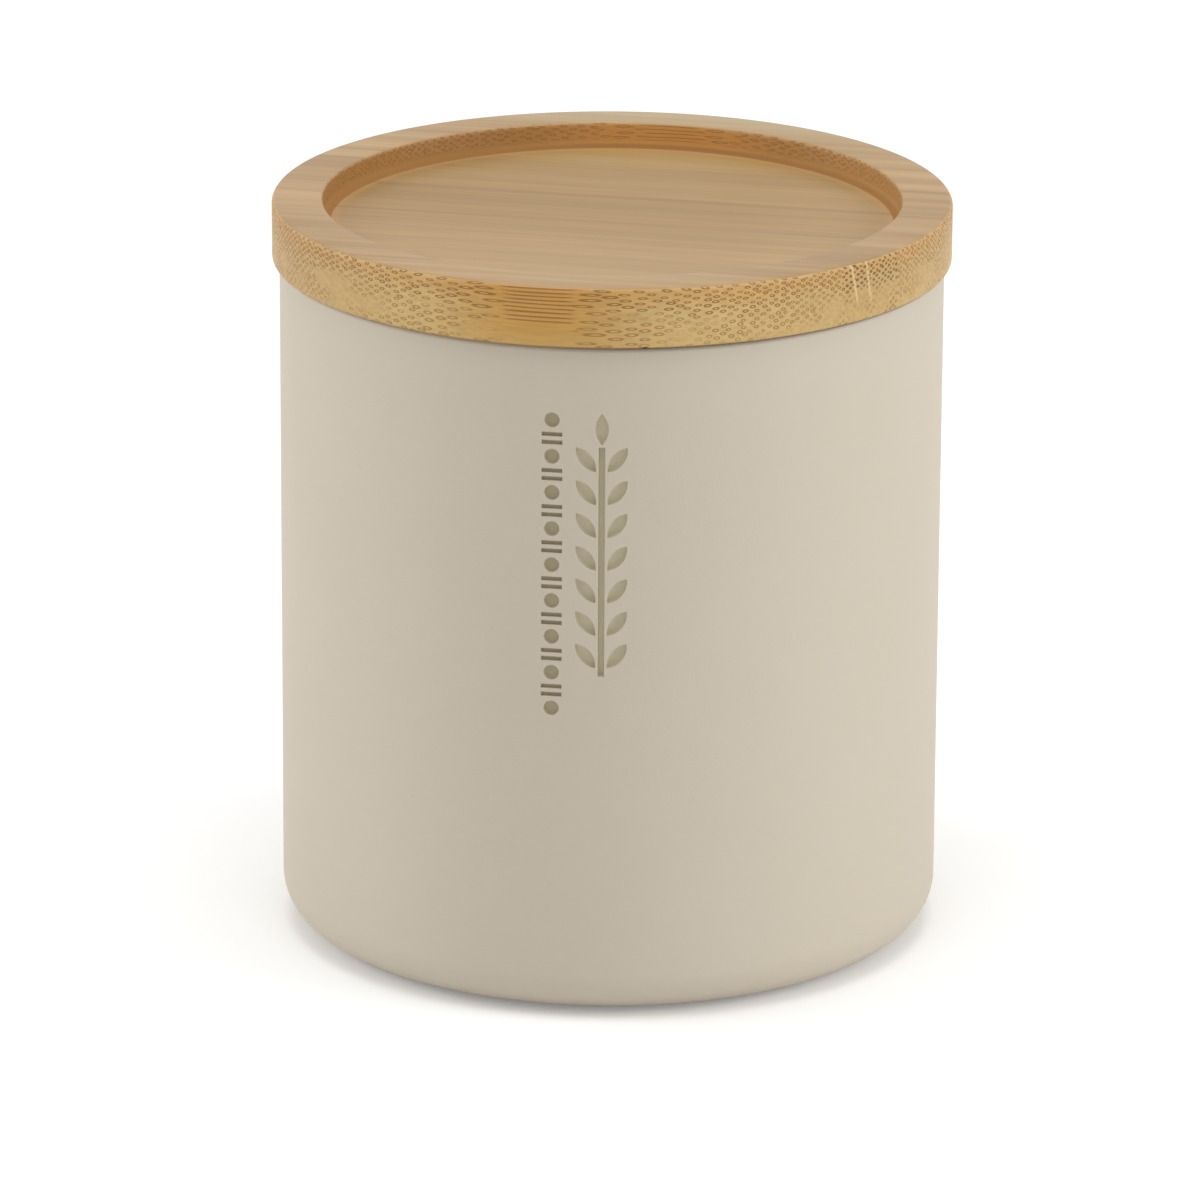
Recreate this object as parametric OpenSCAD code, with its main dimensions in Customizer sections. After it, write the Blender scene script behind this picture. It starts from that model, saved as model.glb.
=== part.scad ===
// Round storage jar: a cast resin body with a turned bamboo lid that covers its rim.
// The origin is the centre of the face that the jar stands on. +Z is up, and the front is -Y.

/* [Jar] */
// Outer diameter of the wall
jar_d = 97.8; // [80:0.2:120]
// Height of the cast body, from its foot to its lip
jar_h = 101.5; // [70:0.5:150]
// Thickness of the wall
wall_t = 5; // [4:0.5:8]
// Thickness of the floor, above the pad's pocket
floor_t = 6; // [4:0.5:10]
// Radius of the outer corner round the foot
foot_r = 6.6; // [4:0.2:9]
// Radius of the cove inside, between wall and floor
cove_r = 8; // [3:0.5:12]
// Radius of the lip's outer edge
lip_outer_r = 0.8; // [0.4:0.1:1.4]
// Radius of the lip's inner edge
lip_inner_r = 1.5; // [0.5:0.1:2]

/* [Carving] */
// Distance from the lip down to the carving's upper end
carve_drop = 9.8; // [5:0.2:20]
// Depth of the sprig
sprig_depth = 0.9; // [0.4:0.1:1.5]
// How far the sprig stands round from the front, in degrees
sprig_turn = 3.2; // [3:0.1:8]
// Number of leaf pairs on the sprig
leaf_pairs = 7; // [3:1:8]
// Distance from one leaf pair to the next
leaf_pitch = 4.9; // [4.4:0.1:6]
// Length of a leaf
leaf_l = 4.6; // [3.5:0.1:5]
// Width of a leaf
leaf_w = 1.9; // [1.2:0.1:2.2]
// How far a leaf leans away from the stem, in degrees
leaf_lean = 38; // [30:1:50]
// Width of the stem
stem_w = 0.9; // [0.6:0.1:1.2]
// Web left standing between the stem and a leaf
leaf_gap = 0.4; // [0.3:0.1:0.8]
// Depth of the beading
bead_depth = 0.6; // [0.4:0.1:1.2]
// How far the beading stands round from the front, in degrees
bead_turn = -5.2; // [-10:0.1:-4.5]
// Number of beads
bead_count = 9; // [4:1:11]
// Distance from one bead to the next
bead_pitch = 5.4; // [4.8:0.1:6.5]
// Diameter of a bead
bead_d = 2.2; // [1.4:0.1:2.4]
// Width of the bars between two beads
bar_w = 3; // [2:0.1:3.6]
// Thickness of a bar
bar_t = 0.6; // [0.4:0.1:0.7]
// Gap between the two bars of a pair
bar_gap = 0.6; // [0.4:0.1:0.7]

/* [Lid] */
// How far the lid stands out past the wall, all round
lid_overhang = 1.1; // [0.5:0.1:3]
// Thickness of the lid above the jar's lip
lid_t = 9; // [8:0.5:14]
// Radius of the lid's two outer edges
lid_edge_r = 0.7; // [0.3:0.1:1.5]
// Width of the rim that stands round the dished top
rim_w = 7.5; // [5:0.5:12]
// Depth of the dish in the top
dish_depth = 3.7; // [2:0.1:5]
// Radius of the edge between rim and dish
dish_edge_r = 0.5; // [0.3:0.1:1]
// Radius of the cove round the dish's floor
dish_cove_r = 1; // [0.5:0.1:1.8]

/* [Plug under the lid] */
// Depth of the plug below the jar's lip
plug_h = 8; // [7.5:0.5:12]
// Gap between the plug and the mouth, all round
plug_gap = 1.2; // [0.8:0.1:2]
// Radius of the plug's lower edge
plug_edge_r = 1; // [0.5:0.1:1.5]
// Depth of the seal's groove
groove_depth = 2; // [1.5:0.1:3]
// Height of the seal's groove
groove_h = 3; // [2.8:0.1:3.4]
// Distance from the lip down to the groove
groove_drop = 2.6; // [2.4:0.1:3]

/* [Seal] */
// Thickness of each of the seal's two fins
fin_t = 0.9; // [0.7:0.1:1.2]
// Clearance between the fins and the mouth
seal_clearance = 0.1; // [0.05:0.05:0.3]

/* [Foot pad] */
// Diameter of the pad
pad_d = 74; // [50:1:76]
// Thickness of the pad
pad_t = 1.5; // [1:0.1:3]
// Depth of the pocket that the pad is stuck into
pocket_depth = 1; // [0.5:0.1:1.5]
// Gap round the pad in its pocket
pad_gap = 0.4; // [0.2:0.1:1]

/* [Hidden] */
$fn = 128;

// Cutters run past the faces they cut by this much
margin = 0.5;

jar_r = jar_d / 2;
mouth_r = jar_r - wall_t;
pocket_r = pad_d / 2 + pad_gap;
cavity_floor = pocket_depth + floor_t;
jar_z = pad_t - pocket_depth;
lip_z = jar_z + jar_h;

lid_r = jar_r + lid_overhang;
dish_r = lid_r - rim_w;
plug_r = mouth_r - plug_gap;
groove_r = plug_r - groove_depth;
groove_z = -groove_drop - groove_h;

// What rounding a corner takes off it. The corner is at the origin, and the solid lies
// towards x_way and y_way, each of them 1 or -1.
module corner_waste(r, x_way, y_way) {
    mirror([x_way < 0 ? 1 : 0, 0])
        mirror([0, y_way < 0 ? 1 : 0])
            difference() {
                translate([-margin, -margin]) square(r + margin);
                translate([r, r]) circle(r);
            }
}

// Half section of the space inside the jar, straight up to its mouth
module cavity_section() {
    difference() {
        translate([0, cavity_floor]) square([mouth_r, jar_h - cavity_floor + margin]);
        translate([mouth_r, cavity_floor]) corner_waste(cove_r, -1, 1);
    }
}

module jar_section() {
    difference() {
        square([jar_r, jar_h]);
        cavity_section();
        translate([0, -margin]) square([pocket_r, pocket_depth + margin]);
        translate([jar_r, 0]) corner_waste(foot_r, -1, 1);
        translate([jar_r, jar_h]) corner_waste(lip_outer_r, -1, -1);
        translate([mouth_r, jar_h]) corner_waste(lip_inner_r, 1, -1);
    }
}

// Outline of a pointed leaf, where two arcs meet. Its base is at the origin and its tip points up.
module leaf_outline() {
    arc_r = (leaf_l * leaf_l + leaf_w * leaf_w) / (4 * leaf_w);
    intersection() {
        translate([arc_r - leaf_w / 2, leaf_l / 2]) circle(arc_r);
        translate([leaf_w / 2 - arc_r, leaf_l / 2]) circle(arc_r);
    }
}

// Outline of the sprig, hanging down from its upper tip at the origin
module sprig_outline() {
    stem_l = leaf_pairs * leaf_pitch;
    translate([0, -leaf_l]) leaf_outline();
    translate([0, -leaf_l - leaf_gap - stem_l]) {
        translate([-stem_w / 2, 0]) square([stem_w, stem_l]);
        for (pair = [0 : leaf_pairs - 1], side = [-1, 1])
            translate([side * (stem_w / 2 + leaf_gap), (pair + 1) * leaf_pitch - leaf_l * cos(leaf_lean)])
                rotate(-side * leaf_lean) leaf_outline();
    }
}

// Outline of the beading, hanging down from the origin: beads with a pair of bars between each two
module bead_outline() {
    for (bead = [0 : bead_count - 1])
        translate([0, -bead_d / 2 - bead * bead_pitch]) circle(bead_d / 2);
    for (space = [0 : bead_count - 2], side = [-1, 1])
        translate([0, -bead_d / 2 - (space + 0.5) * bead_pitch + side * (bar_gap + bar_t) / 2])
            square([bar_w, bar_t], center = true);
}

// What carving an outline takes out of the wall: turned round the jar from the front, down to
// a floor that follows the wall
module carved(turn, depth) {
    rotate([0, 0, turn])
        difference() {
            rotate([90, 0, 0])
                linear_extrude(jar_r + margin)
                    translate([0, jar_h - carve_drop]) children();
            cylinder(h = jar_h, r = jar_r - depth);
        }
}

// The body, cast in one piece with its carved front
module jar() {
    color([0.77, 0.73, 0.65])
        translate([0, 0, jar_z])
            difference() {
                rotate_extrude() jar_section();
                carved(sprig_turn, sprig_depth) sprig_outline();
                carved(bead_turn, bead_depth) bead_outline();
            }
}

// Half section of the dish in the lid's top, with the cove round its floor
module dish_section() {
    difference() {
        translate([0, lid_t - dish_depth]) square([dish_r, dish_depth + margin]);
        translate([dish_r, lid_t - dish_depth]) corner_waste(dish_cove_r, -1, 1);
    }
}

// Half section of the lid, with the face that sits on the lip at height 0
module lid_section() {
    difference() {
        union() {
            square([lid_r, lid_t]);
            translate([0, -plug_h]) square([plug_r, plug_h + margin]);
        }
        dish_section();
        translate([dish_r, lid_t]) corner_waste(dish_edge_r, 1, -1);
        translate([lid_r, lid_t]) corner_waste(lid_edge_r, -1, -1);
        translate([lid_r, 0]) corner_waste(lid_edge_r, -1, 1);
        translate([plug_r, -plug_h]) corner_waste(plug_edge_r, -1, 1);
        translate([groove_r, groove_z]) square([groove_depth + margin, groove_h]);
    }
}

// The lid and its plug, turned from one laminated board
module lid() {
    color([0.76, 0.62, 0.42])
        translate([0, 0, lip_z])
            rotate_extrude() lid_section();
}

// Half section of one fin, from inside the seal's band to its round tip; its middle is at height 0
module fin_section() {
    tip_r = mouth_r - seal_clearance - fin_t / 2;
    translate([groove_r + groove_depth / 2, -fin_t / 2])
        square([tip_r - groove_r - groove_depth / 2, fin_t]);
    translate([tip_r, 0]) circle(fin_t / 2);
}

// Seal of soft silicone: a band that fills the groove, and two fins that grip the mouth
module seal_ring() {
    color([0.93, 0.93, 0.91])
        translate([0, 0, lip_z + groove_z])
            rotate_extrude() {
                translate([groove_r, 0]) square([groove_depth, groove_h]);
                translate([0, fin_t / 2]) fin_section();
                translate([0, groove_h - fin_t / 2]) fin_section();
            }
}

// Foam pad that keeps the hard foot from sliding
module foot_pad() {
    color([0.90, 0.89, 0.86]) cylinder(h = pad_t, d = pad_d);
}

jar();
foot_pad();
lid();
seal_ring();
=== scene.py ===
"""Round storage jar of matte cast resin, with a carved front and a turned bamboo lid.

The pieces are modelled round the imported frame, in metres. +Z is up and the front is -Y.
"""

import math

import bmesh
import bpy
from mathutils import Matrix, Vector


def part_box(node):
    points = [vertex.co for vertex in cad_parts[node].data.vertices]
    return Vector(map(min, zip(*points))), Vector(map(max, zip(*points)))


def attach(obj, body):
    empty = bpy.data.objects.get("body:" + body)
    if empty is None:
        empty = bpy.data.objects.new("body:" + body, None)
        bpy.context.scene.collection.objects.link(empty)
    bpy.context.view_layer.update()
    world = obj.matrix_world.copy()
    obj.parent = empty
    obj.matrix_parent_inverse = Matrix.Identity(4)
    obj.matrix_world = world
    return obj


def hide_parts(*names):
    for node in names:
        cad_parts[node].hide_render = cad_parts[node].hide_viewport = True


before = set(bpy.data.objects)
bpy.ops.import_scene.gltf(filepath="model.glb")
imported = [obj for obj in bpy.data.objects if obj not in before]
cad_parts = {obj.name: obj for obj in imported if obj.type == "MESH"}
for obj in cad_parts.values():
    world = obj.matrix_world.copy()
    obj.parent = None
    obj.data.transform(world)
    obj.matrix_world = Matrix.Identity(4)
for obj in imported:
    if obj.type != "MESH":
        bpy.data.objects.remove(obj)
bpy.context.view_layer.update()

MM = 0.001

# Heights and radii that the frame gives
jar_low, jar_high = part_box("jar")
lid_low, lid_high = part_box("lid")
pad_low, pad_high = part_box("foot_pad")
seal_low, seal_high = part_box("seal_ring")
FOOT_Z = jar_low.z
LIP_Z = jar_high.z
LID_TOP = lid_high.z
PLUG_END = lid_low.z
JAR_R = jar_high.x
LID_R = lid_high.x

# Turned sections
ROUND = 256
SOFT_ANGLE = 35
WALL = 5 * MM
FLOOR_T = 6 * MM
POCKET_DEPTH = 1 * MM
POCKET_GAP = 0.4 * MM
FOOT_CORNER = 6.6 * MM
COVE = 8 * MM
LIP_OUTER = 0.8 * MM
LIP_INNER = 1.5 * MM
MOUTH_R = JAR_R - WALL
PAD_EDGE = 0.15 * MM

RIM_W = 7.5 * MM
DISH_DEPTH = 3.7 * MM
LID_EDGE = 0.7 * MM
DISH_EDGE = 0.5 * MM
DISH_COVE = 1 * MM
PLUG_GAP = 1.2 * MM
PLUG_EDGE = 1 * MM
GROOVE_DEPTH = 2 * MM
FIN_T = 0.9 * MM
SEAL_CLEARANCE = 0.1 * MM
DISH_R = LID_R - RIM_W
PLUG_R = MOUTH_R - PLUG_GAP
GROOVE_R = PLUG_R - GROOVE_DEPTH

# Carving
CARVE_TOP = LIP_Z - 9.8 * MM
SPRIG_DEPTH = 0.9 * MM
SPRIG_TURN = math.radians(3.2)
LEAF_PAIRS = 7
LEAF_PITCH = 4.9 * MM
LEAF_L = 4.6 * MM
LEAF_W = 1.9 * MM
LEAF_LEAN = math.radians(38)
LEAF_GAP = 0.4 * MM
STEM_W = 0.9 * MM
BEAD_DEPTH = 0.6 * MM
BEAD_TURN = math.radians(-5.2)
BEADS = 9
BEAD_PITCH = 5.4 * MM
BEAD_D = 2.2 * MM
BAR_W = 3 * MM
BAR_T = 0.6 * MM
BAR_GAP = 0.6 * MM
CARVE_EDGE = 0.12 * MM
LEAF_FILLET = 0.5 * MM
STEM_FILLET = 0.34 * MM
BEAD_FILLET = 0.3 * MM
BAR_FILLET = 0.2 * MM
PUNCH_L = 1 * MM
CALM_ABOVE = CARVE_TOP + 2 * MM
CALM_BELOW = CARVE_TOP - 47 * MM

# Lid board, in millimetres: where its strips meet and how pale each is, from the front to the
# back, and how its fibre bundles are set
GRAIN_TURN = math.radians(-7.3)
STRIP_BORDERS = (-40, -29.7, -19.8, -1.2, 13, 29, 41)
STRIP_SHADES = (0.7, 0.45, 0.2, 0.62, 0.3, 0.7, 0.5, 0.6)
BOARD_W = 100
SEAMS = (-1.2, 13)
GLUE_LINES = (-28.4, -26)
BUNDLE_PITCH = 1.16
BUNDLE_SQUASH = 1.05
LINE_RATE = 9.3

# Splinter gone from the lid's lower edge
NICK_TURN = math.radians(10.3)
NICK_SIZE = (0.7 * MM, 0.6 * MM, 0.4 * MM)
NICK_RISE = 0.1 * MM

# View
VIEW_TURN = math.radians(4.7)
VIEW_RISE = math.radians(17.61)
VIEW_ROLL = math.radians(-0.323)
VIEW_DISTANCE = 1.269
PICTURE = 1200
LID_R_IN_PICTURE = 335.9
MIDDLE_IN_PICTURE = (610, 554.9)
SENSOR = 36

# Light
ROOM_LIGHT = 0.49
LAMP_DISTANCE = 1.6
LAMP_WIDTH = 0.9
LAMP_HEIGHT = 1.3
RIGHT_POWER = 12.8
LEFT_POWER = 10.8
TOP_POWER = 11

# Table
TABLE_SIZE = 12
TABLE_DROP = 0.02 * MM
TABLE_GLOW = 0.18


# Modelling

def alone(piece):
    """Selects piece and nothing else."""
    bpy.ops.object.select_all(action="DESELECT")
    piece.select_set(True)
    bpy.context.view_layer.objects.active = piece


def begin(piece, name):
    """Names a fresh primitive, settles its place in its mesh and opens it for editing."""
    piece.name = piece.data.name = name
    alone(piece)
    bpy.ops.object.transform_apply(location=True, rotation=True, scale=True)
    bpy.ops.object.mode_set(mode="EDIT")
    bpy.ops.mesh.select_all(action="DESELECT")
    return piece


def soften(piece, angle=SOFT_ANGLE):
    """Shades smoothly across every edge flatter than an angle in degrees."""
    alone(piece)
    bpy.ops.object.shade_smooth_by_angle(angle=math.radians(angle))
    return piece


def close(piece, angle=SOFT_ANGLE):
    """Ends editing, with faces outwards and soft shading across the rounded edges."""
    bpy.ops.mesh.select_all(action="SELECT")
    bpy.ops.mesh.normals_make_consistent(inside=False)
    bpy.ops.object.mode_set(mode="OBJECT")
    return soften(piece, angle)


def pick(piece, kind, test):
    """Selects just the faces or edges of piece that pass the test."""
    bpy.ops.mesh.select_mode(type=kind)
    bpy.ops.mesh.select_all(action="DESELECT")
    mesh = bmesh.from_edit_mesh(piece.data)
    for part in mesh.faces if kind == "FACE" else mesh.edges:
        if test(part):
            part.select_set(True)
    mesh.select_flush_mode()
    bmesh.update_edit_mesh(piece.data)


def cap_at(height, way):
    """Test for the flat faces at a height that look up (1) or down (-1)."""
    def test(face):
        level = all(abs(v.co.z - height) < 2e-6 for v in face.verts)
        return level and face.normal.z * way > 0.9
    return test


def ring_at(radius, height):
    """Test for the edges of the circle with this radius at this height."""
    def test(edge):
        return all(
            abs(v.co.xy.length - radius) < 1e-5 and abs(v.co.z - height) < 2e-6
            for v in edge.verts
        )
    return test


def push(way):
    """Extrudes what is selected."""
    bpy.ops.mesh.extrude_region_move(TRANSFORM_OT_translate={"value": way})


def round_ring(piece, radius, height, width, steps):
    """Rounds the circular edge at this radius and height."""
    pick(piece, "EDGE", ring_at(radius, height))
    bpy.ops.mesh.bevel(offset=width, offset_type="OFFSET", segments=steps, affect="EDGES")


def combine(piece, other, operation):
    """Cuts other out of piece, or keeps what both share, and deletes other."""
    alone(piece)
    bite = piece.modifiers.new("bite", "BOOLEAN")
    bite.operation = operation
    bite.solver = "EXACT"
    bite.object = other
    bpy.ops.object.modifier_apply(modifier=bite.name)
    bpy.data.objects.remove(other)


def turned_disc(name, radius, low, high):
    """A round blank between two heights, open for editing."""
    bpy.ops.mesh.primitive_cylinder_add(
        vertices=ROUND, radius=radius, depth=high - low, location=(0, 0, (low + high) / 2)
    )
    return begin(bpy.context.object, name)


# Carving tools: each is a punch that cuts in from the front, later turned to its place

def finish_punch(punch, depth, fillet):
    """Gives a punch the rounded mouth, the wall and the fillet round the floor that it cuts."""
    pick(punch, "FACE", lambda face: face.normal.y > 0.9)
    turns = (0, math.pi / 6, math.pi / 3, math.pi / 2)
    quarter = [(math.sin(turn), 1 - math.cos(turn)) for turn in turns]
    steps = [(b[0] - a[0], b[1] - a[1]) for a, b in zip(quarter, quarter[1:])]
    for inward, down in steps:
        bpy.ops.mesh.inset(
            thickness=inward * CARVE_EDGE, depth=down * CARVE_EDGE, use_even_offset=True
        )
    push((0, depth - CARVE_EDGE - fillet, 0))
    for down, inward in steps:
        bpy.ops.mesh.inset(thickness=inward * fillet, depth=down * fillet, use_even_offset=True)
    return close(punch)


def front_rod(name, radius, sides, x=0, z=0):
    """A round rod that just reaches the wall's face from in front, open for editing."""
    bpy.ops.mesh.primitive_cylinder_add(
        vertices=sides,
        radius=radius + CARVE_EDGE,
        depth=PUNCH_L,
        location=(x, -JAR_R - PUNCH_L / 2, z),
        rotation=(math.pi / 2, 0, 0),
    )
    return begin(bpy.context.object, name)


def leaf_punch():
    """Punch for one pointed leaf, with its base at height 0 and its tip up."""
    arc_r = (LEAF_L ** 2 + LEAF_W ** 2) / (4 * LEAF_W)
    sides = []
    for way in (-1, 1):
        rod = front_rod("leaf", arc_r, 96, way * (arc_r - LEAF_W / 2), LEAF_L / 2)
        sides.append(finish_punch(rod, SPRIG_DEPTH, LEAF_FILLET))
    leaf, other = sides
    combine(leaf, other, "INTERSECT")
    return leaf


def bead_punch():
    """Punch for one round bead, centred at height 0."""
    return finish_punch(front_rod("bead", BEAD_D / 2, 40), BEAD_DEPTH, BEAD_FILLET)


def bar_punch(name, width, height, depth, fillet):
    """Punch for an upright or level bar, centred at height 0."""
    bpy.ops.mesh.primitive_cube_add(
        size=1,
        location=(0, -JAR_R - PUNCH_L / 2, 0),
        scale=(width + 2 * CARVE_EDGE, PUNCH_L, height + 2 * CARVE_EDGE),
    )
    return finish_punch(begin(bpy.context.object, name), depth, fillet)


def strike(punch, turn, height, lean=0, aside=0):
    """A copy of a punch, leaned in its own plane, moved aside and up, and turned round the jar."""
    copy = punch.copy()
    copy.data = punch.data.copy()
    bpy.context.scene.collection.objects.link(copy)
    copy.data.transform(
        Matrix.Rotation(turn + aside / JAR_R, 4, "Z")
        @ Matrix.Translation((0, 0, height))
        @ Matrix.Rotation(lean, 4, "Y")
    )
    return copy


def carving_tool():
    """All the punches of the sprig and the beading, joined into one cutter."""
    leaf = leaf_punch()
    stem_l = LEAF_PAIRS * LEAF_PITCH
    stem = bar_punch("stem", STEM_W, stem_l, SPRIG_DEPTH, STEM_FILLET)
    bead = bead_punch()
    bar = bar_punch("bar", BAR_W, BAR_T, BEAD_DEPTH, BAR_FILLET)
    struck = [strike(leaf, SPRIG_TURN, CARVE_TOP - LEAF_L)]
    stem_foot = CARVE_TOP - LEAF_L - LEAF_GAP - stem_l
    struck.append(strike(stem, SPRIG_TURN, stem_foot + stem_l / 2))
    for pair in range(LEAF_PAIRS):
        leaf_foot = stem_foot + (pair + 1) * LEAF_PITCH - LEAF_L * math.cos(LEAF_LEAN)
        for side in (-1, 1):
            aside = side * (STEM_W / 2 + LEAF_GAP)
            struck.append(strike(leaf, SPRIG_TURN, leaf_foot, side * LEAF_LEAN, aside))
    for number in range(BEADS):
        middle = CARVE_TOP - BEAD_D / 2 - number * BEAD_PITCH
        struck.append(strike(bead, BEAD_TURN, middle))
        if number < BEADS - 1:
            for side in (-1, 1):
                level = middle - BEAD_PITCH / 2 + side * (BAR_GAP + BAR_T) / 2
                struck.append(strike(bar, BEAD_TURN, level))
    for punch in (leaf, stem, bead, bar):
        bpy.data.objects.remove(punch)
    alone(struck[0])
    for copy in struck:
        copy.select_set(True)
    bpy.ops.object.join()
    return struck[0]


# Pieces

def make_jar():
    """The cast body: wall, lip, coved inside, rounded foot, pocket for the pad, carved front."""
    jar = turned_disc("resin_jar", JAR_R, FOOT_Z, LIP_Z)
    pick(jar, "FACE", cap_at(LIP_Z, 1))
    bpy.ops.mesh.inset(thickness=WALL, depth=0, use_even_offset=True)
    cavity_floor = FOOT_Z + POCKET_DEPTH + FLOOR_T
    push((0, 0, cavity_floor - LIP_Z))
    pick(jar, "FACE", cap_at(FOOT_Z, -1))
    pocket_r = pad_high.x + POCKET_GAP
    bpy.ops.mesh.inset(thickness=JAR_R - pocket_r, depth=0, use_even_offset=True)
    push((0, 0, POCKET_DEPTH))
    round_ring(jar, JAR_R, FOOT_Z, FOOT_CORNER, 20)
    round_ring(jar, JAR_R, LIP_Z, LIP_OUTER, 5)
    round_ring(jar, MOUTH_R, LIP_Z, LIP_INNER, 6)
    round_ring(jar, MOUTH_R, cavity_floor, COVE, 14)
    # Rings above and below the carving keep the wall's shading calm past them
    for height in (CALM_ABOVE, CALM_BELOW):
        bpy.ops.mesh.select_all(action="SELECT")
        bpy.ops.mesh.bisect(plane_co=(0, 0, height), plane_no=(0, 0, 1))
    close(jar)
    combine(jar, carving_tool(), "DIFFERENCE")
    soften(jar)
    even = jar.modifiers.new("even", "WEIGHTED_NORMAL")
    even.weight = 100
    even.keep_sharp = True
    bpy.ops.object.modifier_apply(modifier=even.name)
    return jar


def nick():
    """A splinter's worth to take out of the lid's lower edge."""
    bpy.ops.mesh.primitive_ico_sphere_add(
        subdivisions=2,
        radius=1,
        location=(
            LID_R * math.sin(NICK_TURN),
            -LID_R * math.cos(NICK_TURN),
            LIP_Z + NICK_RISE,
        ),
        rotation=(0, 0, NICK_TURN),
        scale=NICK_SIZE,
    )
    chip = begin(bpy.context.object, "nick")
    bpy.ops.object.mode_set(mode="OBJECT")
    return chip


def make_lid():
    """The lid: dished top with a rounded rim, and a plug with the seal's groove below."""
    lid = turned_disc("bamboo_lid", LID_R, LIP_Z, LID_TOP)
    pick(lid, "FACE", cap_at(LID_TOP, 1))
    bpy.ops.mesh.inset(thickness=RIM_W, depth=0, use_even_offset=True)
    push((0, 0, -DISH_DEPTH))
    pick(lid, "FACE", cap_at(LIP_Z, -1))
    bpy.ops.mesh.inset(thickness=LID_R - PLUG_R, depth=0, use_even_offset=True)
    push((0, 0, seal_high.z - LIP_Z))
    bpy.ops.mesh.inset(thickness=GROOVE_DEPTH, depth=0, use_even_offset=True)
    push((0, 0, seal_low.z - seal_high.z))
    push((0, 0, 0))
    spread = PLUG_R / GROOVE_R
    bpy.ops.transform.resize(value=(spread, spread, 1), center_override=(0, 0, 0))
    push((0, 0, PLUG_END - seal_low.z))
    round_ring(lid, LID_R, LID_TOP, LID_EDGE, 6)
    round_ring(lid, LID_R, LIP_Z, LID_EDGE, 6)
    round_ring(lid, DISH_R, LID_TOP, DISH_EDGE, 5)
    round_ring(lid, DISH_R, LID_TOP - DISH_DEPTH, DISH_COVE, 6)
    round_ring(lid, PLUG_R, PLUG_END, PLUG_EDGE, 6)
    close(lid)
    combine(lid, nick(), "DIFFERENCE")
    return soften(lid)


def make_seal():
    """The silicone ring: a band in the groove with two round-tipped fins."""
    tip_r = MOUTH_R - SEAL_CLEARANCE
    section = [
        (tip_r, seal_high.z),
        (tip_r, seal_high.z - FIN_T),
        (PLUG_R, seal_high.z - FIN_T),
        (PLUG_R, seal_low.z + FIN_T),
        (tip_r, seal_low.z + FIN_T),
        (tip_r, seal_low.z),
        (GROOVE_R, seal_low.z),
    ]
    bpy.ops.mesh.primitive_circle_add(
        vertices=ROUND, radius=GROOVE_R, fill_type="NOTHING", location=(0, 0, seal_high.z)
    )
    seal = begin(bpy.context.object, "silicone_seal")
    radius, height = GROOVE_R, seal_high.z
    pick(seal, "EDGE", ring_at(radius, height))
    for next_radius, next_height in section:
        push((0, 0, next_height - height))
        grow = next_radius / radius
        bpy.ops.transform.resize(value=(grow, grow, 1), center_override=(0, 0, 0))
        radius, height = next_radius, next_height
    pick(seal, "EDGE", lambda edge: edge.is_boundary)
    bpy.ops.mesh.bridge_edge_loops()
    for height in (seal_high.z, seal_high.z - FIN_T, seal_low.z + FIN_T, seal_low.z):
        round_ring(seal, tip_r, height, FIN_T * 0.48, 5)
    return close(seal, 50)


def make_foot_pad():
    """The die-cut foam disc under the foot."""
    pad = turned_disc("foam_pad", pad_high.x, pad_low.z, pad_high.z)
    round_ring(pad, pad_high.x, pad_low.z, PAD_EDGE, 3)
    return close(pad)


# Finishes

def paint(red, green, blue):
    """A colour from the eight-bit values that it shows on screen."""
    def level(value):
        share = value / 255
        return share / 12.92 if share < 0.04045 else ((share + 0.055) / 1.055) ** 2.4
    return (level(red), level(green), level(blue), 1)


class Reading:
    """A number or colour that varies over a surface. Numbers are used in plain arithmetic."""

    def __init__(self, finish, socket):
        self.finish = finish
        self.socket = socket

    def __add__(self, other):
        return self.finish.maths("ADD", self, other)

    def __sub__(self, other):
        return self.finish.maths("SUBTRACT", self, other)

    def __mul__(self, other):
        return self.finish.maths("MULTIPLY", self, other)

    def __truediv__(self, other):
        return self.finish.maths("DIVIDE", self, other)

    def __radd__(self, other):
        return self.finish.maths("ADD", other, self)

    def __rsub__(self, other):
        return self.finish.maths("SUBTRACT", other, self)

    def __rmul__(self, other):
        return self.finish.maths("MULTIPLY", other, self)

    def __abs__(self):
        return self.finish.maths("ABSOLUTE", self)


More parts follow.
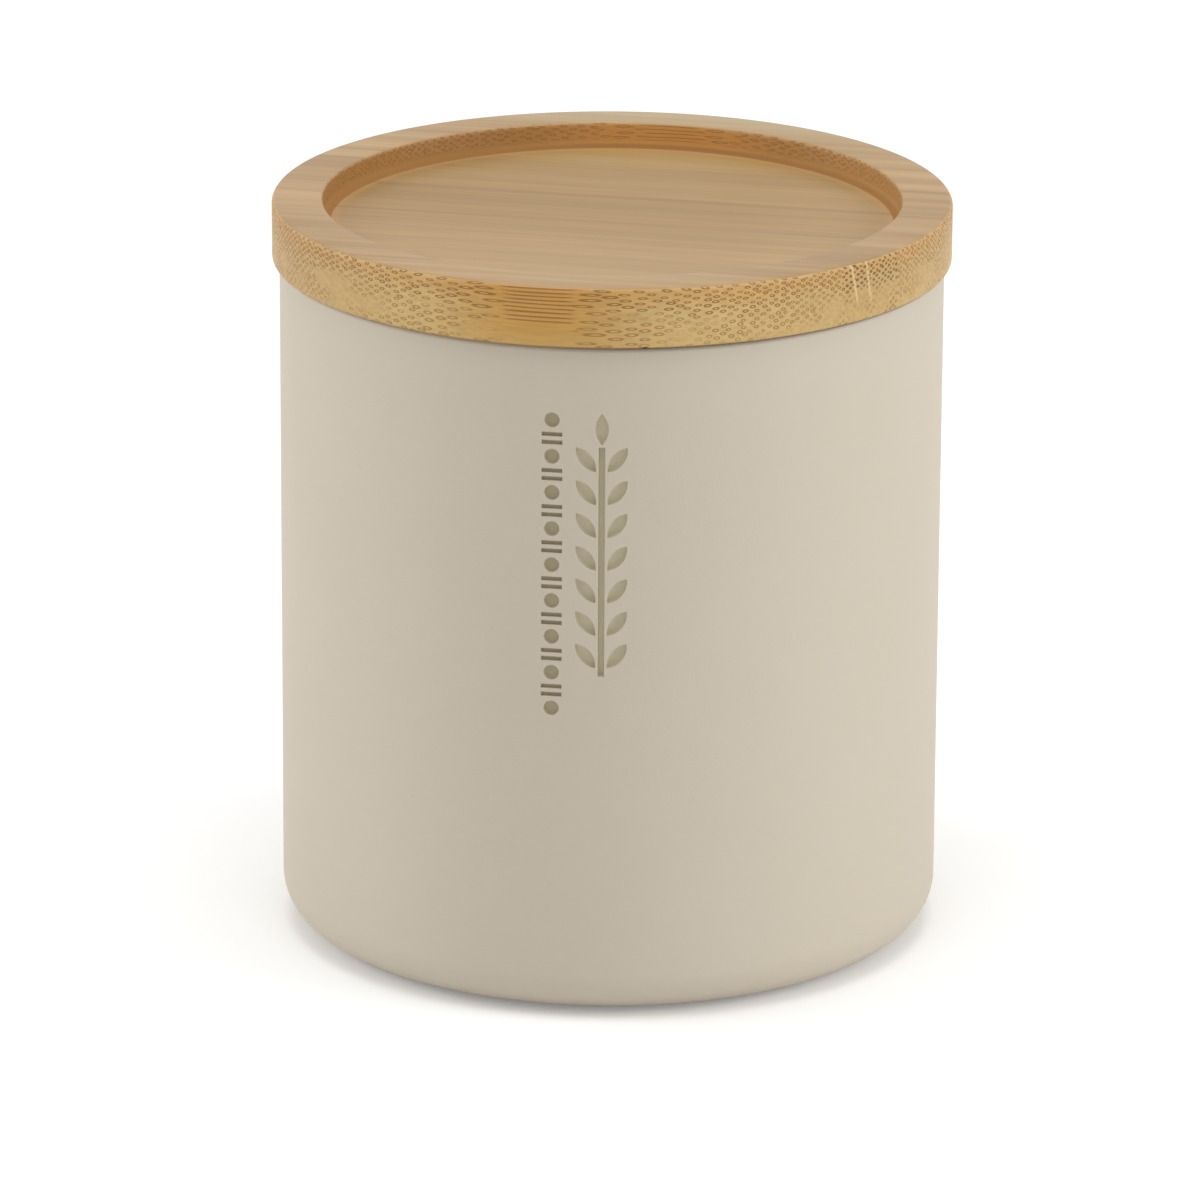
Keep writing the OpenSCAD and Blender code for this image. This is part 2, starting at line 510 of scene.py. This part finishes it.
class Finish:
    """One material and the nodes that make it."""

    def __init__(self, name):
        self.material = bpy.data.materials.new(name)
        self.material.use_nodes = True
        self.nodes = self.material.node_tree.nodes
        self.links = self.material.node_tree.links
        self.nodes.clear()

    def node(self, kind, settings=None, sockets=None):
        """Adds a node, with its settings made before its sockets are fed."""
        made = self.nodes.new(kind)
        for name, value in (settings or {}).items():
            if name == "stops":
                self.set_stops(made.color_ramp, value)
            elif name == "interpolation":
                made.color_ramp.interpolation = value
            else:
                setattr(made, name, value)
        for name, value in (sockets or {}).items():
            self.feed(made.inputs[name], value)
        return made

    def feed(self, socket, value):
        """Links a reading to a socket, or sets a constant on it."""
        if isinstance(value, Reading):
            self.links.new(value.socket, socket)
        else:
            socket.default_value = value

    def set_stops(self, ramp, stops):
        """Gives a ramp its stops, each a place and a colour."""
        while len(ramp.elements) < len(stops):
            ramp.elements.new(1)
        for element, (place, colour) in zip(ramp.elements, stops):
            element.position = place
            element.color = colour

    def maths(self, operation, *values):
        made = self.node("ShaderNodeMath", {"operation": operation}, dict(enumerate(values)))
        return Reading(self, made.outputs[0])

    def smooth(self, value, low, high):
        """0 below low and 1 above high, or the other way round if low is the larger."""
        made = self.node(
            "ShaderNodeMapRange",
            {"interpolation_type": "SMOOTHSTEP"},
            {"Value": value, "From Min": low, "From Max": high},
        )
        return Reading(self, made.outputs["Result"])

    def vector(self, x, y, z):
        made = self.node("ShaderNodeCombineXYZ", None, {"X": x, "Y": y, "Z": z})
        return Reading(self, made.outputs[0])

    def place(self, turn=0, lift=0):
        """Readings of x, y and z in millimetres, turned about Z and lowered by lift."""
        where = self.node("ShaderNodeTexCoord")
        settled = self.node(
            "ShaderNodeMapping",
            None,
            {
                "Vector": Reading(self, where.outputs["Object"]),
                "Location": (0, 0, -lift / MM),
                "Rotation": (0, 0, turn),
                "Scale": (1 / MM, 1 / MM, 1 / MM),
            },
        )
        point = Reading(self, settled.outputs[0])
        split = self.node("ShaderNodeSeparateXYZ", None, {0: point})
        return [Reading(self, split.outputs[axis]) for axis in "XYZ"]

    def facing(self, way):
        """How squarely the surface faces along a direction or against it, from 0 to 1."""
        where = self.node("ShaderNodeTexCoord")
        dot = self.node(
            "ShaderNodeVectorMath",
            {"operation": "DOT_PRODUCT"},
            {0: Reading(self, where.outputs["Normal"]), 1: way},
        )
        return abs(Reading(self, dot.outputs["Value"]))

    def noise(self, vector, scale=1, detail=2, roughness=0.5):
        """Cloudy noise, from 0 to 1."""
        made = self.node(
            "ShaderNodeTexNoise",
            None,
            {"Vector": vector, "Scale": scale, "Detail": detail, "Roughness": roughness},
        )
        return Reading(self, made.outputs[0])

    def cells(self, vector, scatter):
        """Scattered cells: distance to the nearest middle, and a random level for each cell."""
        made = self.node(
            "ShaderNodeTexVoronoi",
            {"voronoi_dimensions": "2D"},
            {"Vector": vector, "Scale": 1, "Randomness": scatter},
        )
        level = self.red(Reading(self, made.outputs["Color"]))
        return Reading(self, made.outputs["Distance"]), level

    def red(self, colour):
        """The red level of a colour."""
        split = self.node("ShaderNodeSeparateColor", None, {0: colour})
        return Reading(self, split.outputs[0])

    def ramp(self, value, stops, interpolation="LINEAR"):
        made = self.node(
            "ShaderNodeValToRGB", {"interpolation": interpolation, "stops": stops}, {"Fac": value}
        )
        return Reading(self, made.outputs["Color"])

    def blend(self, share, first, second, mode="MIX"):
        """Mixes two colours by a share from 0 to 1."""
        made = self.node(
            "ShaderNodeMix",
            {"data_type": "RGBA", "blend_type": mode},
            {0: share, 6: first, 7: second},
        )
        return Reading(self, made.outputs[2])

    def grey(self, value):
        """The same level in all three channels, as a colour."""
        made = self.node("ShaderNodeCombineColor", None, {0: value, 1: value, 2: value})
        return Reading(self, made.outputs[0])

    def relief(self, height, depth):
        """A bumped normal, from a height between 0 and about 1 times a depth in metres."""
        made = self.node("ShaderNodeBump", None, {"Height": height, "Distance": depth})
        return Reading(self, made.outputs[0])

    def surface(self, sockets):
        """Ends the material in one principled shader."""
        shader = self.node("ShaderNodeBsdfPrincipled", None, sockets)
        self.node("ShaderNodeOutputMaterial", None, {"Surface": Reading(self, shader.outputs[0])})
        return self.material


def resin_finish():
    """Matte cast resin, faintly clouded: warmer down in the sprig and darker in the beading."""
    f = Finish("matte_resin")
    x, y, z = f.place()
    spot = f.vector(x, y, z)
    cloud = f.noise(spot, 0.045, 3)
    tooth = f.noise(spot, 3.2, 3, 0.6)
    speck = f.smooth(f.noise(spot, 1.3, 1), 0.79, 0.84)
    radius = f.maths("SQRT", x * x + y * y)
    below_face = JAR_R / MM - radius
    on_wall = f.smooth(z, 14, 20) * f.smooth(z, 99, 95)
    sunk = f.smooth(below_face, 0.1, 0.5) * f.smooth(below_face, 2.4, 1.6)
    in_carving = sunk * on_wall
    in_beading = in_carving * f.smooth(x, -1, -2)
    body = f.blend(cloud, paint(198, 187, 169), paint(201, 191, 174))
    body = f.blend(speck * 0.25, body, paint(150, 140, 122))
    body = f.blend(in_carving * 0.8, body, paint(204, 194, 166))
    body = f.blend(in_beading * 0.75, body, paint(164, 150, 120))
    return f.surface(
        {
            "Base Color": body,
            "Roughness": 0.55 + tooth * 0.14,
            "Specular IOR Level": 0.4,
            "Normal": f.relief(tooth + cloud * 0.5, 0.03 * MM),
        }
    )


def bamboo_finish():
    """Laminated bamboo: bundles of fibre that run along the board, cut across at the sides."""
    f = Finish("oiled_bamboo")
    along, across, height = f.place(-GRAIN_TURN, LID_TOP)
    depth = 0 - height
    radius = f.maths("SQRT", along * along + across * across)
    fibre = (math.cos(GRAIN_TURN), math.sin(GRAIN_TURN), 0)
    end_grain = f.facing(fibre)
    level = f.smooth(f.facing((0, 0, 1)), 0.6, 0.95)

    # Strips that the board is glued up from: each has its own shade and its own bundles
    stops = [(0, (STRIP_SHADES[0],) * 3 + (1,))]
    for border, shade in zip(STRIP_BORDERS, STRIP_SHADES[1:]):
        stops.append((border / BOARD_W + 0.5, (shade,) * 3 + (1,)))
    wander = f.noise(f.vector(along * 0.015, across * 0.08, height * 0.08), 1, 1) - 0.5
    drift = f.noise(f.vector(along * 0.015, across * 0.1, height * 0.08 + 9), 1, 1) - 0.5
    strip_place = (across + wander * 1.2 + BOARD_W / 2) / BOARD_W
    strip = f.red(f.ramp(strip_place, stops, "CONSTANT"))
    dark_strip = f.smooth(strip, 0.27, 0.23) * f.smooth(along, 0, 20)
    sideways = across + wander * 1.2 + strip * 37
    upright = height + drift * 1.2 + strip * 53 + f.smooth(depth, 5, -3) * 1.4

    # Bundles in staggered rows, closer near the top, each a dark ring round a pale heart
    first = (sideways + upright * BUNDLE_SQUASH) / BUNDLE_PITCH
    second = (sideways - upright * BUNDLE_SQUASH) / BUNDLE_PITCH
    distance, kind = f.cells(f.vector(first, second, 0), 0.4)
    reach = distance / (0.26 + kind * 0.08)
    heart = f.smooth(reach, 0.62, 0.25) * (1 - dark_strip * 0.9)
    ring = f.smooth(reach, 1.15, 0.88) - heart
    near_skin = f.smooth(depth + drift * 4, 5, 3)
    patches = f.noise(f.vector(along * 0.05, sideways * 0.22, upright * 0.3), 1, 1)
    patchy = f.smooth(patches, 0.35, 0.6)
    inked = near_skin * (0.75 + kind * 0.25) + (1 - near_skin) * (0.16 + patchy * 0.5)

    # Where the side runs with the fibre, the bundles show as long lines
    along_cut = f.smooth(end_grain, 0.13, 0.07)
    wave = f.noise(f.vector(along * 0.03, 0, upright * 0.6), 1, 2)
    line = f.smooth(f.maths("SINE", upright * LINE_RATE + wave * 7), 0.1, 0.9)
    lined = line * f.smooth(depth + drift * 3, 6.4, 5.4) * (0.55 + wave * 0.5)
    ink_share = (ring * inked * (1 - along_cut) + lined * along_cut) * (1 - level)
    bundles = f.smooth(ink_share, 0, 1)

    # Long soft tones and fine lines along the fibre
    band = f.noise(f.vector(along * 0.006, across * 0.3, height * 0.1 + 4), 1, 3)
    streak = f.noise(f.vector(along * 0.012, across * 1.1, height * 1.1), 1, 3, 0.7)
    hair = f.noise(f.vector(along * 0.024, across * 1.7, height * 1.7), 1, 2, 0.6)
    dark_streak = f.smooth(streak, 0.56, 0.68) + f.smooth(hair, 0.6, 0.7) * 0.7

    # Tones of the side, the top and the dish's floor
    # Where the side turns across the fibre it is paler, partly the cut's own colour and partly
    # painted sheen, and it darkens a little again at the flanks.
    side = f.blend(f.smooth(end_grain, 0.04, 0.38), paint(197, 149, 70), paint(206, 173, 112))
    side = f.blend(f.smooth(end_grain, 0.45, 0.9), side, paint(191, 157, 98))
    skin_side = f.smooth(depth + drift * 2, 3.4, 1.2) * f.smooth(depth, 0.1, 0.5)
    side = f.blend(skin_side * 0.4, side, paint(198, 142, 68))
    lined_part = along_cut * f.smooth(depth + drift * 3, 6.4, 5.4)
    side = f.blend(lined_part * 0.4, side, paint(208, 150, 82))
    side = f.blend(f.smooth(depth, 5.5, 8.5) * 0.35, side, paint(203, 170, 105))
    # Painted shade: the side is darker towards its left.
    painted_left_shade = f.smooth(along, -18, -30) * f.smooth(along, -49, -42)
    side = f.blend(painted_left_shade * 0.3, side, paint(178, 138, 80))
    top_band = f.smooth(band * 0.8 + strip * 0.3, 0.36, 0.8)
    top = f.blend(top_band, paint(164, 130, 85), paint(188, 155, 108))
    # Painted sheen: the rim is paler towards its back.
    top = f.blend(f.smooth(across, 36, 46) * 0.6, top, paint(186, 166, 128))
    # The dish's floor is darker than the rim, partly painted shade from the dish's wall and partly
    # the strips' own tones, and it is paler towards its back, front and right.
    on_floor = f.smooth(depth, 3, 3.6) * level
    floor_tone = f.blend(band, paint(152, 119, 67), paint(168, 134, 82))
    floor_tone = f.blend(f.smooth(across, 24, 38) * 0.7, floor_tone, paint(182, 148, 90))
    floor_tone = f.blend(f.smooth(across, 0, -34), floor_tone, paint(183, 150, 102))
    floor_tone = f.blend(f.smooth(along, 14, 34) * 0.4, floor_tone, paint(188, 155, 104))
    top = f.blend(on_floor * 0.75, top, floor_tone)
    # The top's greyer tones stand partly for the board's face and partly for painted sheen.
    wood = f.blend(level, side, top)
    fine = f.smooth(streak, 0.35, 0.62) * 0.08 + f.smooth(hair, 0.38, 0.62) * 0.09
    wood = f.blend(1, wood, f.grey(0.84 + fine + strip * 0.04), "MULTIPLY")
    wood = f.blend(dark_streak * level * 0.4, wood, paint(140, 104, 70))

    # The dish's wall is painted darker and warmer, as shade and warm bounce light: more so where
    # it turns across the fibre and where its cove looks up, less towards the right. The floor is
    # warmer and paler near the wall
    from_wall = radius - DISH_R / MM
    warm_floor_edge = f.smooth(from_wall, -3, -0.6) * on_floor
    wood = f.blend(warm_floor_edge * 0.6, wood, paint(196, 153, 96))
    dish_wall = f.smooth(from_wall, -1.3, -0.9) * f.smooth(from_wall, 1.2, 0.8)
    dish_wall = dish_wall * f.smooth(depth, 0.02, 0.3) * f.smooth(depth, 4.6, 4.2)
    dish_wall_painted_shade = f.blend(f.smooth(end_grain, 0.1, 0.6), paint(205, 148, 80), paint(163, 115, 58))
    dish_wall_painted_shade = f.blend(f.smooth(along, 12, 30) * 0.4, dish_wall_painted_shade, paint(205, 155, 92))
    dish_wall_painted_shade = f.blend(f.smooth(f.facing((0, 0, 1)), 0.15, 0.8), dish_wall_painted_shade, paint(147, 101, 49))
    wood = f.blend(dish_wall * 0.88, wood, dish_wall_painted_shade)

    # Dark rings and lines, pale hearts
    ink = f.blend(dark_strip * near_skin, paint(140, 90, 18), paint(108, 72, 26))
    pale = heart * inked * (1 - along_cut) * (1 - level) * (1 - dish_wall)
    wood = f.blend(pale * 0.3, wood, paint(222, 186, 130))
    in_cove = dish_wall * f.smooth(depth, 2.3, 2.9)
    bundles = bundles * (1 - in_cove)
    wood = f.blend(bundles * (0.85 - dish_wall * 0.5), wood, ink)

    # Seams between strips: dark on the top, and two pale glue lines on the side
    seam = 0
    for place in SEAMS:
        seam = f.smooth(abs(across + wander * 1.2 - place), 0.9, 0.2) + seam
    wood = f.blend(seam * level * 0.3, wood, paint(138, 102, 68))
    glue = 0
    for place in GLUE_LINES:
        from_line = abs(across + wander * 1.2 - place + height * 0.16)
        glue = f.smooth(from_line, 0.26, 0.1) + glue
    glue = glue * f.smooth(along, 0, 20) * f.smooth(depth, 6.6, 5) * (1 - dish_wall)
    wood = f.blend(glue * (1 - level) * 0.75, wood, paint(216, 184, 130))

    # The lower edge carries a painted shadow of the gap over the jar, stronger towards the right,
    # and a darker painted shade in the splinter's notch
    painted_gap_shadow = f.smooth(depth, 8.5, 8.85) * f.smooth(depth, 9.6, 9.2)
    wood = f.blend(painted_gap_shadow * (0.5 + f.smooth(along, -10, 18) * 0.4), wood, paint(80, 58, 26))
    # Painted shade inside the splinter's notch.
    painted_nick_shade = f.smooth(abs(along - 14.7), 0.55, 0.3) * f.smooth(across, -46, -47)
    wood = f.blend(painted_nick_shade * f.smooth(depth, 8.5, 8.75) * 0.85, wood, paint(70, 48, 26))

    relief = 1 - bundles * 0.7 + hair * 0.3
    return f.surface(
        {
            "Base Color": wood,
            "Roughness": 0.46 + bundles * 0.2 + in_cove * 0.4,
            "Specular IOR Level": 0.45,
            "Normal": f.relief(relief, 0.09 * MM),
        }
    )


def silicone_finish():
    """Soft milky silicone."""
    f = Finish("milky_silicone")
    x, y, z = f.place()
    dust = f.noise(f.vector(x, y, z), 0.8, 3)
    return f.surface(
        {
            "Base Color": f.blend(dust, paint(226, 226, 222), paint(236, 236, 233)),
            "Roughness": 0.32 + dust * 0.12,
            "Subsurface Weight": 0.25,
            "Subsurface Scale": 0.002,
            "Normal": f.relief(dust, 0.01 * MM),
        }
    )


def foam_finish():
    """Fine closed-cell foam."""
    f = Finish("closed_cell_foam")
    x, y, z = f.place()
    spot = f.vector(x, y, z)
    pores, kind = f.cells(f.vector(x * 2.6, y * 2.6, 0), 1)
    tone = f.noise(spot, 0.12, 2)
    body = f.blend(tone, paint(222, 220, 212), paint(230, 228, 221))
    body = f.blend(f.smooth(pores, 0.3, 0.1) * (0.3 + kind * 0.4), body, paint(190, 187, 178))
    return f.surface(
        {
            "Base Color": body,
            "Roughness": 0.85,
            "Normal": f.relief(f.smooth(pores, 0.1, 0.35), 0.08 * MM),
        }
    )


def table_finish():
    """White table: it keeps the soft shadow, and elsewhere shows as white to the camera."""
    f = Finish("white_table")
    x, y, z = f.place()
    haze = f.noise(f.vector(x, y, z), 0.004, 1)
    seen = f.node("ShaderNodeLightPath")
    rays = ("Camera", "Glossy", "Transmission")
    looks = [Reading(f, seen.outputs[f"Is {ray} Ray"]) for ray in rays]
    white = f.blend(haze, (0.9, 0.9, 0.9, 1), (0.92, 0.92, 0.92, 1))
    board = f.node("ShaderNodeBsdfDiffuse", None, {"Color": white, "Roughness": 0})
    board = Reading(f, board.outputs[0])
    glow = f.node("ShaderNodeEmission", None, {"Color": (1, 1, 1, 1), "Strength": TABLE_GLOW})
    bright = f.node("ShaderNodeAddShader", None, {0: board, 1: Reading(f, glow.outputs[0])})
    bright = Reading(f, bright.outputs[0])
    seen_share = looks[0] + looks[1] + looks[2]
    both = f.node("ShaderNodeMixShader", None, {0: seen_share, 1: board, 2: bright})
    f.node("ShaderNodeOutputMaterial", None, {"Surface": Reading(f, both.outputs[0])})
    return f.material


# Stage

def lay_table():
    """The white table, a hair below the pad so that the two faces don't fight."""
    bpy.ops.object.select_all(action="DESELECT")
    bpy.ops.mesh.primitive_plane_add(size=TABLE_SIZE, location=(0, 0, -TABLE_DROP))
    table = bpy.context.object
    table.name = "table"
    table.data.materials.append(table_finish())


def hang_lamp(name, turn, rise, power):
    """A soft lamp aimed at the jar, turned to the right of the view and raised, in degrees."""
    angle = VIEW_TURN + math.radians(turn)
    lift = math.radians(rise)
    out = Vector((
        math.sin(angle) * math.cos(lift),
        -math.cos(angle) * math.cos(lift),
        math.sin(lift),
    ))
    middle = Vector((0, 0, LIP_Z / 2))
    data = bpy.data.lights.new(name, "AREA")
    data.shape = "RECTANGLE"
    data.size = LAMP_WIDTH
    data.size_y = LAMP_HEIGHT
    data.energy = power
    lamp = bpy.data.objects.new(name, data)
    lamp.location = middle + out * LAMP_DISTANCE
    lamp.rotation_euler = out.to_track_quat("Z", "Y").to_euler()
    bpy.context.scene.collection.objects.link(lamp)


def light_room():
    """A plain white room, seen brighter than it shines, with lamps on both sides and above."""
    world = bpy.data.worlds.new("room")
    bpy.context.scene.world = world
    world.use_nodes = True
    nodes, links = world.node_tree.nodes, world.node_tree.links
    nodes.clear()
    seen = nodes.new("ShaderNodeLightPath")
    looked_at = seen.outputs["Is Camera Ray"]
    for ray in ("Glossy", "Transmission"):
        either = nodes.new("ShaderNodeMath")
        either.operation = "MAXIMUM"
        links.new(looked_at, either.inputs[0])
        links.new(seen.outputs[f"Is {ray} Ray"], either.inputs[1])
        looked_at = either.outputs[0]
    strength = nodes.new("ShaderNodeMapRange")
    strength.inputs["To Min"].default_value = ROOM_LIGHT
    strength.inputs["To Max"].default_value = 1
    links.new(looked_at, strength.inputs["Value"])
    background = nodes.new("ShaderNodeBackground")
    background.inputs["Color"].default_value = (1, 1, 1, 1)
    links.new(strength.outputs["Result"], background.inputs["Strength"])
    output = nodes.new("ShaderNodeOutputWorld")
    links.new(background.outputs[0], output.inputs["Surface"])
    hang_lamp("right_lamp", 75, 15, RIGHT_POWER)
    hang_lamp("left_lamp", -95, 15, LEFT_POWER)
    hang_lamp("top_lamp", 0, 84, TOP_POWER)


def set_camera():
    """The camera, a little above, turned so that the jar lies where it does in the picture."""
    out = Vector((
        math.sin(VIEW_TURN) * math.cos(VIEW_RISE),
        -math.cos(VIEW_TURN) * math.cos(VIEW_RISE),
        math.sin(VIEW_RISE),
    ))
    right = Vector((math.cos(VIEW_TURN), math.sin(VIEW_TURN), 0))
    up = out.cross(right)
    focus = LID_R_IN_PICTURE * VIEW_DISTANCE / LID_R
    aside = math.atan((MIDDLE_IN_PICTURE[0] - PICTURE / 2) / focus)
    below = math.atan((MIDDLE_IN_PICTURE[1] - PICTURE / 2) / focus)
    middle = Vector((0, 0, (FOOT_Z + LID_TOP) / 2))
    aimed = Matrix((right, up, out)).transposed()
    aimed = Matrix.Rotation(aside, 3, up) @ aimed
    aimed = Matrix.Rotation(below, 3, aimed.col[0]) @ aimed
    aimed = Matrix.Rotation(VIEW_ROLL, 3, -aimed.col[2]) @ aimed
    data = bpy.data.cameras.new("camera")
    data.sensor_width = SENSOR
    data.lens = SENSOR * focus / PICTURE
    data.clip_start = 0.05
    data.clip_end = 30
    camera = bpy.data.objects.new("camera", data)
    camera.matrix_world = Matrix.Translation(middle + out * VIEW_DISTANCE) @ aimed.to_4x4()
    bpy.context.scene.collection.objects.link(camera)
    bpy.context.scene.camera = camera


# Dressing the frame

def dress(piece, finish, body, node):
    """Gives a piece its finish and its body, and hides the node that it stands for."""
    piece.data.materials.clear()
    piece.data.materials.append(finish)
    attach(piece, body)
    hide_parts(node)


dress(make_jar(), resin_finish(), "jar", "jar")
dress(make_foot_pad(), foam_finish(), "jar", "foot_pad")
dress(make_lid(), bamboo_finish(), "lid", "lid")
dress(make_seal(), silicone_finish(), "lid", "seal_ring")

lay_table()
light_room()
set_camera()
bpy.context.scene.view_settings.view_transform = "Standard"
